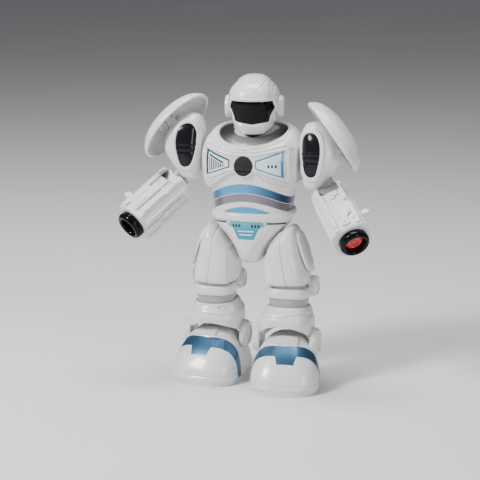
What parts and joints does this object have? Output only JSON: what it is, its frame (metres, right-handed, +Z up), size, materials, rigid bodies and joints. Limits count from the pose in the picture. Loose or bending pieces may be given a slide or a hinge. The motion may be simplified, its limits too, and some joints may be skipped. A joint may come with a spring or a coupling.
{
  "type": "toy walking robot",
  "caption": "Standing toy robot with a domed helmet and visor, shield-like shoulder covers, blocky launcher forearms, swinging legs and big rounded feet.",
  "frame": {"origin": "on the floor midway between the feet, below the hip line", "axes": "+Z up, -Y the way the robot faces, +X the robot's left"},
  "size_m": [0.2378, 0.1012, 0.285],
  "materials": {
    "helmet_white": "gloss moulded",
    "body_white": "gloss moulded",
    "arm_white": "gloss moulded",
    "leg_white": "gloss moulded",
    "visor_black": "high gloss",
    "silver_plated": "vacuum plated, satin",
    "grey_plastic": "satin moulded",
    "dark_plastic": "satin moulded",
    "grille": "perforated, matte",
    "sticker": "printed film",
    "metallic_band": "metallic lacquer",
    "band_blue": "metallic lacquer",
    "badge": "printed film",
    "inset_black": "smoked, glossy",
    "muzzle_black": "high gloss",
    "disc_red": "gloss moulded",
    "bare_steel": "bare",
    "board_green": "solder mask",
    "cell_wrap": "shrink wrap",
    "gear_plastic": "satin moulded"
  },
  "bodies": {
    "torso": {"collar": "silver_plated", "torso_front": "body_white", "torso_rear": "body_white", "chest_stickers": "sticker", "speaker_grille": "grille", "loudspeaker": "bare_steel", "abdomen_bands": "metallic_band", "belly_lens": "band_blue", "belt_ring": "body_white", "belt_badge": "badge", "pelvis_front": "body_white", "pelvis_rear": "body_white", "circuit_board": "board_green", "battery_box": "dark_plastic", "battery_cells": "cell_wrap", "battery_door": "body_white", "case_screws": "bare_steel", "gearbox_frame": "gear_plastic", "drive_motor": "bare_steel"},
    "head": {"helmet_front": "helmet_white", "helmet_rear": "helmet_white", "visor": "visor_black", "ear_caps": "helmet_white", "neck_stem": "dark_plastic"},
    "pinion": {"motor_pinion": "bare_steel"},
    "crank": {"crank_gear": "gear_plastic"},
    "switch": {"power_switch": "dark_plastic"},
    "right_arm": {"right_shoulder_shell": "arm_white", "right_shoulder_inset": "inset_black", "right_upper_arm": "grey_plastic"},
    "right_pauldron": {"right_pauldron": "arm_white"},
    "right_forearm": {"right_forearm_shell": "arm_white", "right_muzzle": "muzzle_black"},
    "right_trigger": {"right_trigger": "arm_white"},
    "right_leg": {"right_thigh_outer": "leg_white", "right_thigh_inner": "leg_white", "right_knee_core": "grey_plastic", "right_shin_shroud": "leg_white"},
    "right_foot": {"right_foot_shell": "leg_white", "right_foot_band": "band_blue", "right_sole_plate": "grey_plastic"},
    "right_roller": {"right_foot_roller": "dark_plastic"},
    "left_arm": {"left_shoulder_shell": "arm_white", "left_shoulder_inset": "inset_black", "left_upper_arm": "grey_plastic"},
    "left_pauldron": {"left_pauldron": "arm_white"},
    "left_forearm": {"left_forearm_shell": "arm_white", "left_muzzle": "muzzle_black"},
    "left_trigger": {"left_trigger": "arm_white"},
    "left_disc": {"left_disc": "disc_red"},
    "left_leg": {"left_thigh_outer": "leg_white", "left_thigh_inner": "leg_white", "left_knee_core": "grey_plastic", "left_shin_shroud": "leg_white"},
    "left_foot": {"left_foot_shell": "leg_white", "left_foot_band": "band_blue", "left_sole_plate": "grey_plastic"},
    "left_roller": {"left_foot_roller": "dark_plastic"}
  },
  "joints": [
    {"name": "head_turn", "type": "hinge", "parent": "torso", "child": "head", "pos_m": [0, 0.01, 0.236], "axis": [0, 0, 1], "range_deg": [-55, 35]},
    {"name": "crank_spin", "type": "hinge", "parent": "torso", "child": "crank", "pos_m": [0, 0.006, 0.162], "axis": [1, 0, 0], "continuous": true},
    {"name": "pinion_spin", "type": "hinge", "parent": "torso", "child": "pinion", "pos_m": [0, 0.006, 0.17835], "axis": [1, 0, 0], "continuous": true},
    {"name": "power_switch_slide", "type": "slide", "parent": "torso", "child": "switch", "axis": [0, 0, 1], "range_m": [0, 0.006]},
    {"name": "right_shoulder", "type": "hinge", "parent": "torso", "child": "right_arm", "pos_m": [-0.05, 0.003, 0.219], "axis": [1, 0, 0], "range_deg": [-120, 40]},
    {"name": "right_pauldron_hinge", "type": "hinge", "parent": "right_arm", "child": "right_pauldron", "pos_m": [-0.0803, 0.00904, 0.24027], "axis": [-0.6394, -0.34, -0.6896], "range_deg": [-10, 10]},
    {"name": "right_elbow", "type": "hinge", "parent": "right_arm", "child": "right_forearm", "pos_m": [-0.08, -0.004, 0.175], "axis": [0.8529, -0.3274, -0.4067], "range_deg": [-15, 20]},
    {"name": "right_trigger_slide", "type": "slide", "parent": "right_forearm", "child": "right_trigger", "axis": [0.8529, -0.3274, -0.4067], "range_m": [0, 0.003], "stiffness_N_per_m": 120},
    {"name": "right_hip", "type": "hinge", "parent": "torso", "child": "right_leg", "pos_m": [-0.025, 0.002, 0.135], "axis": [1, 0, 0], "range_deg": [-12, 4]},
    {"name": "right_ankle", "type": "hinge", "parent": "right_leg", "child": "right_foot", "pos_m": [-0.0355, 0.00656, 0.04109], "axis": [1, 0, 0], "range_deg": [-4, 12]},
    {"name": "right_roller_spin", "type": "hinge", "parent": "right_foot", "child": "right_roller", "pos_m": [-0.0365, 0.00656, 0.0072], "axis": [0.9903, -0.1392, 0], "continuous": true},
    {"name": "left_shoulder", "type": "hinge", "parent": "torso", "child": "left_arm", "pos_m": [0.05, 0.003, 0.214], "axis": [1, 0, 0], "range_deg": [-120, 40]},
    {"name": "left_pauldron_hinge", "type": "hinge", "parent": "left_arm", "child": "left_pauldron", "pos_m": [0.0803, 0.00904, 0.23527], "axis": [0.6394, -0.34, -0.6896], "range_deg": [-10, 10]},
    {"name": "left_elbow", "type": "hinge", "parent": "left_arm", "child": "left_forearm", "pos_m": [0.08, -0.004, 0.17], "axis": [0.8529, 0.3274, 0.4067], "range_deg": [-15, 20]},
    {"name": "left_trigger_slide", "type": "slide", "parent": "left_forearm", "child": "left_trigger", "axis": [-0.8529, -0.3274, -0.4067], "range_m": [0, 0.003], "stiffness_N_per_m": 120},
    {"name": "left_disc_slide", "type": "slide", "parent": "left_forearm", "child": "left_disc", "axis": [0.5131, -0.6696, -0.537], "range_m": [0, 0.03]},
    {"name": "left_hip", "type": "hinge", "parent": "torso", "child": "left_leg", "pos_m": [0.025, 0.002, 0.135], "axis": [1, 0, 0], "range_deg": [-4, 12]},
    {"name": "left_ankle", "type": "hinge", "parent": "left_leg", "child": "left_foot", "pos_m": [0.0355, -0.00655, 0.04137], "axis": [1, 0, 0], "range_deg": [-12, 4]},
    {"name": "left_roller_spin", "type": "hinge", "parent": "left_foot", "child": "left_roller", "pos_m": [0.0365, -0.00655, 0.0072], "axis": [0.9903, 0.1392, 0], "continuous": true}
  ],
  "couplings": [
    {"joint": "pinion_spin", "follows": "crank_spin", "ratio": -3.6},
    {"joint": "left_hip", "follows": "right_hip", "ratio": -1},
    {"joint": "right_ankle", "follows": "right_hip", "ratio": -1},
    {"joint": "left_ankle", "follows": "right_hip", "ratio": 1}
  ]
}
